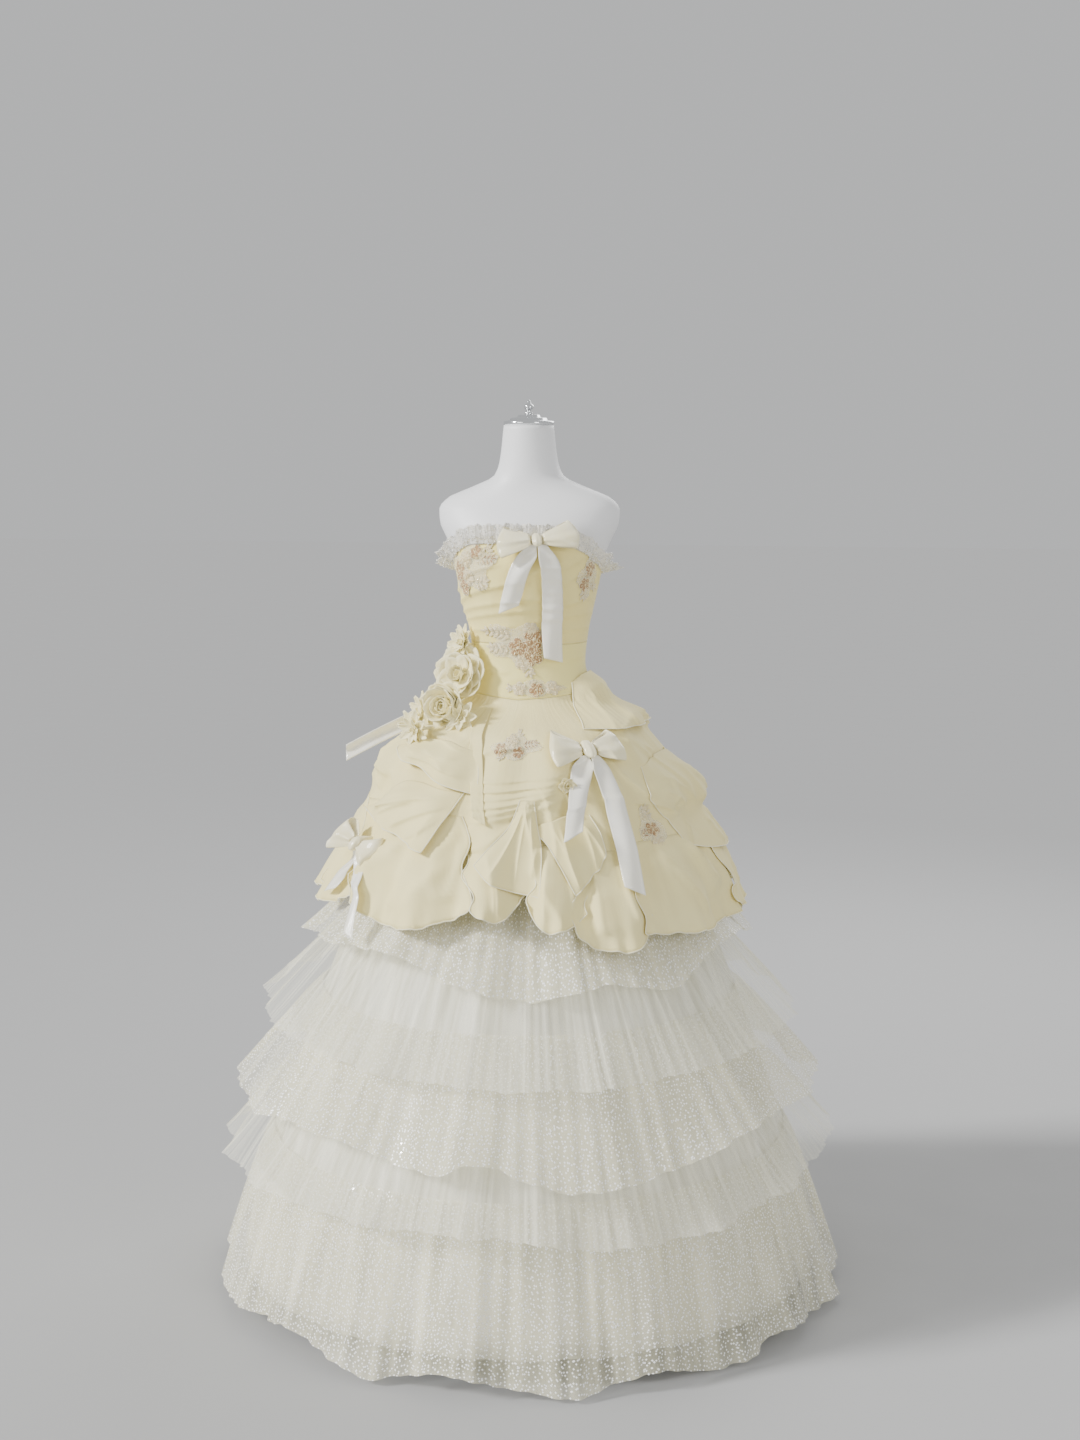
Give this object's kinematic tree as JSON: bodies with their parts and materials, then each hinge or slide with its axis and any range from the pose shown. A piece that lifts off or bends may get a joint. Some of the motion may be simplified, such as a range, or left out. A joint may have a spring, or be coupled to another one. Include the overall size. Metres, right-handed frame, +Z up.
{
  "type": "ball gown on a dress form",
  "caption": "Strapless ball gown with draped bodice, picked-up chiffon overskirt, glitter and sheer tulle tiers, satin bows and cloth flowers, on a limbless dress form",
  "frame": {"origin": "centre of the stand's round base at its underside, on the floor below the pole", "axes": "+Z up, the gown's front faces -Y, the wearer's left is +X"},
  "size_m": [1.1977, 1.2098, 1.6936],
  "materials": {
    "form": "smooth white satin shell",
    "chrome": "polished cap and pole",
    "bodice_cloth": "pale yellow chiffon over satin",
    "chiffon": "thin cream chiffon, soft sheen",
    "lace": "beaded lace",
    "motif": "embroidered lace with beads",
    "ribbon": "ivory satin ribbon",
    "flower": "cream chiffon petals",
    "glitter_tulle": "sheer tulle with glitter dots",
    "sheer_tulle": "plain sheer tulle",
    "satin": "off-white satin"
  },
  "bodies": {
    "root": {"basque_back_left": "bodice_cloth", "basque_back_right": "bodice_cloth", "basque_front": "bodice_cloth", "bodice_back_left": "bodice_cloth", "bodice_back_right": "bodice_cloth", "bodice_front": "bodice_cloth", "bow_bust_knot": "ribbon", "bow_bust_loop_left": "ribbon", "bow_bust_loop_right": "ribbon", "bow_bust_tail_left": "ribbon", "bow_bust_tail_right": "ribbon", "bow_hip_knot": "ribbon", "bow_hip_loop_left": "ribbon", "bow_hip_loop_right": "ribbon", "bow_hip_tail_left": "ribbon", "bow_hip_tail_right": "ribbon", "bow_side_knot": "ribbon", "bow_side_loop_left": "ribbon", "bow_side_loop_right": "ribbon", "bow_side_tail_left": "ribbon", "bow_side_tail_right": "ribbon", "flap_back_centre": "chiffon", "flap_back_left": "chiffon", "flap_back_right": "chiffon", "flap_centre": "chiffon", "flap_front_left": "chiffon", "flap_front_low": "chiffon", "flap_front_right": "chiffon", "flap_hip_left": "chiffon", "flap_side_left": "chiffon", "flower_daisy_side": "flower", "flower_daisy_upper": "flower", "flower_petals_front": "flower", "flower_petals_low": "flower", "flower_rose_main": "flower", "flower_rose_upper": "flower", "form_base": "form", "form_cap": "chrome", "form_finial": "chrome", "form_pole": "chrome", "form_torso": "form", "hip_chiffon_tail": "chiffon", "hip_ribbon": "ribbon", "motif_basque_edge": "motif", "motif_bust_left": "motif", "motif_bust_right": "motif", "motif_overskirt_front": "motif", "motif_overskirt_side": "motif", "motif_waist": "motif", "neckline_ruffle": "lace", "overskirt_lower": "chiffon", "overskirt_upper": "chiffon", "rosette_small": "flower", "satin_underskirt": "satin", "tier_1_glitter": "glitter_tulle", "tier_2_sheer": "sheer_tulle", "tier_3_glitter": "glitter_tulle", "tier_4_sheer": "sheer_tulle", "tier_5_glitter": "glitter_tulle"}
  },
  "joints": []
}
